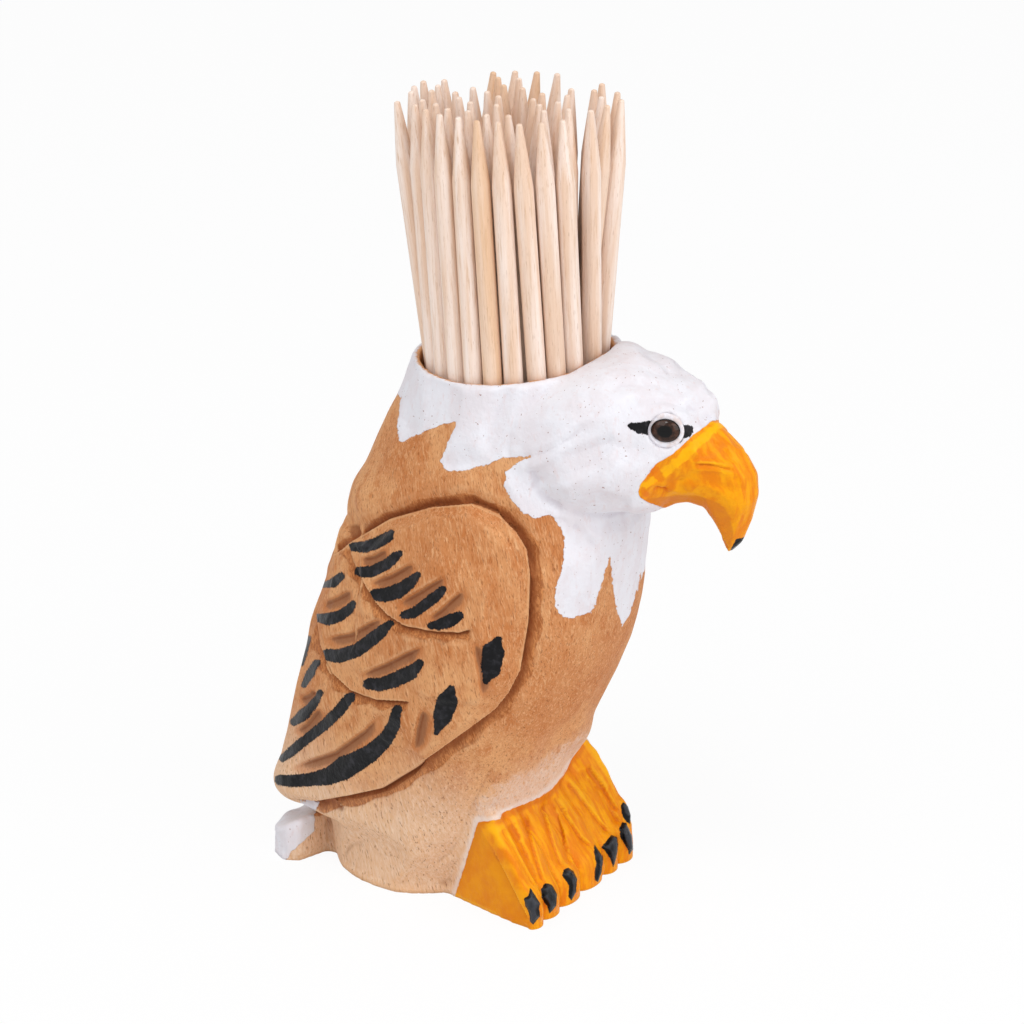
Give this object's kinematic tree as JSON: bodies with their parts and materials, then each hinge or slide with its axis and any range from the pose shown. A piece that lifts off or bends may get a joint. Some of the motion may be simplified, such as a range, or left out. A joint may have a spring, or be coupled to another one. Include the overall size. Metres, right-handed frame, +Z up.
{
  "type": "toothpick holder",
  "caption": "Carved wooden eagle standing on its feet, with a round bore down its neck that holds a fanned bundle of double-pointed toothpicks that lift out.",
  "frame": {"origin": "on the ground, under the axis of the bore", "axes": "+X forward, the way the beak points; +Y to the bird's left; +Z up, along the bore"},
  "size_m": [0.0615, 0.0346, 0.0969],
  "materials": {
    "carved_wood": "hand-carved, stained honey brown, with a painted head, feet, claws and feather marks",
    "bead_glass": "glossy brown bead with a black pupil",
    "pick_wood": "plain pale wood"
  },
  "bodies": {
    "holder": {"carved_body": "carved_wood", "eye_left": "bead_glass", "eye_right": "bead_glass"},
    "pick_01": {"toothpick_01": "pick_wood"},
    "pick_02": {"toothpick_02": "pick_wood"},
    "pick_03": {"toothpick_03": "pick_wood"},
    "pick_04": {"toothpick_04": "pick_wood"},
    "pick_05": {"toothpick_05": "pick_wood"},
    "pick_06": {"toothpick_06": "pick_wood"},
    "pick_07": {"toothpick_07": "pick_wood"},
    "pick_08": {"toothpick_08": "pick_wood"},
    "pick_09": {"toothpick_09": "pick_wood"},
    "pick_10": {"toothpick_10": "pick_wood"},
    "pick_11": {"toothpick_11": "pick_wood"},
    "pick_12": {"toothpick_12": "pick_wood"},
    "pick_13": {"toothpick_13": "pick_wood"},
    "pick_14": {"toothpick_14": "pick_wood"},
    "pick_15": {"toothpick_15": "pick_wood"},
    "pick_16": {"toothpick_16": "pick_wood"},
    "pick_17": {"toothpick_17": "pick_wood"},
    "pick_18": {"toothpick_18": "pick_wood"},
    "pick_19": {"toothpick_19": "pick_wood"},
    "pick_20": {"toothpick_20": "pick_wood"},
    "pick_21": {"toothpick_21": "pick_wood"},
    "pick_22": {"toothpick_22": "pick_wood"},
    "pick_23": {"toothpick_23": "pick_wood"},
    "pick_24": {"toothpick_24": "pick_wood"},
    "pick_25": {"toothpick_25": "pick_wood"},
    "pick_26": {"toothpick_26": "pick_wood"},
    "pick_27": {"toothpick_27": "pick_wood"},
    "pick_28": {"toothpick_28": "pick_wood"},
    "pick_29": {"toothpick_29": "pick_wood"},
    "pick_30": {"toothpick_30": "pick_wood"},
    "pick_31": {"toothpick_31": "pick_wood"},
    "pick_32": {"toothpick_32": "pick_wood"},
    "pick_33": {"toothpick_33": "pick_wood"},
    "pick_34": {"toothpick_34": "pick_wood"},
    "pick_35": {"toothpick_35": "pick_wood"},
    "pick_36": {"toothpick_36": "pick_wood"},
    "pick_37": {"toothpick_37": "pick_wood"},
    "pick_38": {"toothpick_38": "pick_wood"},
    "pick_39": {"toothpick_39": "pick_wood"},
    "pick_40": {"toothpick_40": "pick_wood"},
    "pick_41": {"toothpick_41": "pick_wood"},
    "pick_42": {"toothpick_42": "pick_wood"},
    "pick_43": {"toothpick_43": "pick_wood"},
    "pick_44": {"toothpick_44": "pick_wood"},
    "pick_45": {"toothpick_45": "pick_wood"},
    "pick_46": {"toothpick_46": "pick_wood"},
    "pick_47": {"toothpick_47": "pick_wood"},
    "pick_48": {"toothpick_48": "pick_wood"},
    "pick_49": {"toothpick_49": "pick_wood"},
    "pick_50": {"toothpick_50": "pick_wood"},
    "pick_51": {"toothpick_51": "pick_wood"},
    "pick_52": {"toothpick_52": "pick_wood"}
  },
  "joints": [
    {"name": "pick_01_lift", "type": "slide", "parent": "holder", "child": "pick_01", "axis": [-0.0207, 0.0198, 0.9996], "range_m": [0, 0.066]},
    {"name": "pick_02_lift", "type": "slide", "parent": "holder", "child": "pick_02", "axis": [-0.0498, 0, 0.9988], "range_m": [0, 0.066]},
    {"name": "pick_03_lift", "type": "slide", "parent": "holder", "child": "pick_03", "axis": [0.004, 0.0516, 0.9987], "range_m": [0, 0.066]},
    {"name": "pick_04_lift", "type": "slide", "parent": "holder", "child": "pick_04", "axis": [-0.055, -0.023, 0.9982], "range_m": [0, 0.066]},
    {"name": "pick_05_lift", "type": "slide", "parent": "holder", "child": "pick_05", "axis": [-0.0359, 0.0206, 0.9991], "range_m": [0, 0.066]},
    {"name": "pick_06_lift", "type": "slide", "parent": "holder", "child": "pick_06", "axis": [0.0168, 0.0523, 0.9985], "range_m": [0, 0.066]},
    {"name": "pick_07_lift", "type": "slide", "parent": "holder", "child": "pick_07", "axis": [-0.0558, -0.0512, 0.9971], "range_m": [0, 0.066]},
    {"name": "pick_08_lift", "type": "slide", "parent": "holder", "child": "pick_08", "axis": [-0.0016, 0.0465, 0.9989], "range_m": [0, 0.066]},
    {"name": "pick_09_lift", "type": "slide", "parent": "holder", "child": "pick_09", "axis": [-0.0462, -0.0114, 0.9989], "range_m": [0, 0.066]},
    {"name": "pick_10_lift", "type": "slide", "parent": "holder", "child": "pick_10", "axis": [-0.0579, -0.0014, 0.9983], "range_m": [0, 0.066]},
    {"name": "pick_11_lift", "type": "slide", "parent": "holder", "child": "pick_11", "axis": [0.0218, 0.0782, 0.9967], "range_m": [0, 0.066]},
    {"name": "pick_12_lift", "type": "slide", "parent": "holder", "child": "pick_12", "axis": [-0.0724, -0.0615, 0.9955], "range_m": [0, 0.066]},
    {"name": "pick_13_lift", "type": "slide", "parent": "holder", "child": "pick_13", "axis": [-0.0489, -0.0209, 0.9986], "range_m": [0, 0.066]},
    {"name": "pick_14_lift", "type": "slide", "parent": "holder", "child": "pick_14", "axis": [-0.0448, -0.0022, 0.999], "range_m": [0, 0.066]},
    {"name": "pick_15_lift", "type": "slide", "parent": "holder", "child": "pick_15", "axis": [-0.0659, -0.0261, 0.9975], "range_m": [0, 0.066]},
    {"name": "pick_16_lift", "type": "slide", "parent": "holder", "child": "pick_16", "axis": [-0.0011, 0.0466, 0.9989], "range_m": [0, 0.066]},
    {"name": "pick_17_lift", "type": "slide", "parent": "holder", "child": "pick_17", "axis": [-0.0533, -0.0619, 0.9967], "range_m": [0, 0.066]},
    {"name": "pick_18_lift", "type": "slide", "parent": "holder", "child": "pick_18", "axis": [-0.0533, -0.0168, 0.9984], "range_m": [0, 0.066]},
    {"name": "pick_19_lift", "type": "slide", "parent": "holder", "child": "pick_19", "axis": [0.0327, 0.0311, 0.999], "range_m": [0, 0.066]},
    {"name": "pick_20_lift", "type": "slide", "parent": "holder", "child": "pick_20", "axis": [-0.0797, -0.0137, 0.9967], "range_m": [0, 0.066]},
    {"name": "pick_21_lift", "type": "slide", "parent": "holder", "child": "pick_21", "axis": [-0.0245, 0.0038, 0.9997], "range_m": [0, 0.066]},
    {"name": "pick_22_lift", "type": "slide", "parent": "holder", "child": "pick_22", "axis": [0.003, -0.0111, 0.9999], "range_m": [0, 0.066]},
    {"name": "pick_23_lift", "type": "slide", "parent": "holder", "child": "pick_23", "axis": [-0.0603, -0.0173, 0.998], "range_m": [0, 0.066]},
    {"name": "pick_24_lift", "type": "slide", "parent": "holder", "child": "pick_24", "axis": [0.05, 0.0406, 0.9979], "range_m": [0, 0.066]},
    {"name": "pick_25_lift", "type": "slide", "parent": "holder", "child": "pick_25", "axis": [-0.0932, -0.0145, 0.9955], "range_m": [0, 0.066]},
    {"name": "pick_26_lift", "type": "slide", "parent": "holder", "child": "pick_26", "axis": [-0.0488, -0.03, 0.9984], "range_m": [0, 0.066]},
    {"name": "pick_27_lift", "type": "slide", "parent": "holder", "child": "pick_27", "axis": [0.0055, 0.0776, 0.997], "range_m": [0, 0.066]},
    {"name": "pick_28_lift", "type": "slide", "parent": "holder", "child": "pick_28", "axis": [-0.109, -0.0494, 0.9928], "range_m": [0, 0.066]},
    {"name": "pick_29_lift", "type": "slide", "parent": "holder", "child": "pick_29", "axis": [0.0042, -0.0027, 1], "range_m": [0, 0.066]},
    {"name": "pick_30_lift", "type": "slide", "parent": "holder", "child": "pick_30", "axis": [-0.0013, -0.0029, 1], "range_m": [0, 0.066]},
    {"name": "pick_31_lift", "type": "slide", "parent": "holder", "child": "pick_31", "axis": [-0.0587, -0.0171, 0.9981], "range_m": [0, 0.066]},
    {"name": "pick_32_lift", "type": "slide", "parent": "holder", "child": "pick_32", "axis": [0.0367, 0.0495, 0.9981], "range_m": [0, 0.066]},
    {"name": "pick_33_lift", "type": "slide", "parent": "holder", "child": "pick_33", "axis": [-0.0895, -0.0235, 0.9957], "range_m": [0, 0.066]},
    {"name": "pick_34_lift", "type": "slide", "parent": "holder", "child": "pick_34", "axis": [-0.0309, -0.0626, 0.9976], "range_m": [0, 0.066]},
    {"name": "pick_35_lift", "type": "slide", "parent": "holder", "child": "pick_35", "axis": [0.0704, 0.0599, 0.9957], "range_m": [0, 0.066]},
    {"name": "pick_36_lift", "type": "slide", "parent": "holder", "child": "pick_36", "axis": [-0.0646, -0.0277, 0.9975], "range_m": [0, 0.066]},
    {"name": "pick_37_lift", "type": "slide", "parent": "holder", "child": "pick_37", "axis": [0.0847, 0.0464, 0.9953], "range_m": [0, 0.066]},
    {"name": "pick_38_lift", "type": "slide", "parent": "holder", "child": "pick_38", "axis": [-0.1012, -0.0162, 0.9947], "range_m": [0, 0.066]},
    {"name": "pick_39_lift", "type": "slide", "parent": "holder", "child": "pick_39", "axis": [-0.0541, -0.0202, 0.9983], "range_m": [0, 0.066]},
    {"name": "pick_40_lift", "type": "slide", "parent": "holder", "child": "pick_40", "axis": [0.008, 0.0351, 0.9994], "range_m": [0, 0.066]},
    {"name": "pick_41_lift", "type": "slide", "parent": "holder", "child": "pick_41", "axis": [-0.0739, -0.0206, 0.9971], "range_m": [0, 0.066]},
    {"name": "pick_42_lift", "type": "slide", "parent": "holder", "child": "pick_42", "axis": [-0.0139, -0.0662, 0.9977], "range_m": [0, 0.066]},
    {"name": "pick_43_lift", "type": "slide", "parent": "holder", "child": "pick_43", "axis": [0.0537, 0.0766, 0.9956], "range_m": [0, 0.066]},
    {"name": "pick_44_lift", "type": "slide", "parent": "holder", "child": "pick_44", "axis": [-0.0599, -0.0205, 0.998], "range_m": [0, 0.066]},
    {"name": "pick_45_lift", "type": "slide", "parent": "holder", "child": "pick_45", "axis": [0.0519, 0.0538, 0.9972], "range_m": [0, 0.066]},
    {"name": "pick_46_lift", "type": "slide", "parent": "holder", "child": "pick_46", "axis": [-0.097, -0.0233, 0.995], "range_m": [0, 0.066]},
    {"name": "pick_47_lift", "type": "slide", "parent": "holder", "child": "pick_47", "axis": [-0.0441, -0.0548, 0.9975], "range_m": [0, 0.066]},
    {"name": "pick_48_lift", "type": "slide", "parent": "holder", "child": "pick_48", "axis": [0.0786, 0.0455, 0.9959], "range_m": [0, 0.066]},
    {"name": "pick_49_lift", "type": "slide", "parent": "holder", "child": "pick_49", "axis": [-0.113, -0.0582, 0.9919], "range_m": [0, 0.066]},
    {"name": "pick_50_lift", "type": "slide", "parent": "holder", "child": "pick_50", "axis": [0.0045, -0.0286, 0.9996], "range_m": [0, 0.066]},
    {"name": "pick_51_lift", "type": "slide", "parent": "holder", "child": "pick_51", "axis": [0.0347, 0.0873, 0.9956], "range_m": [0, 0.066]},
    {"name": "pick_52_lift", "type": "slide", "parent": "holder", "child": "pick_52", "axis": [-0.0575, -0.0063, 0.9983], "range_m": [0, 0.066]}
  ]
}
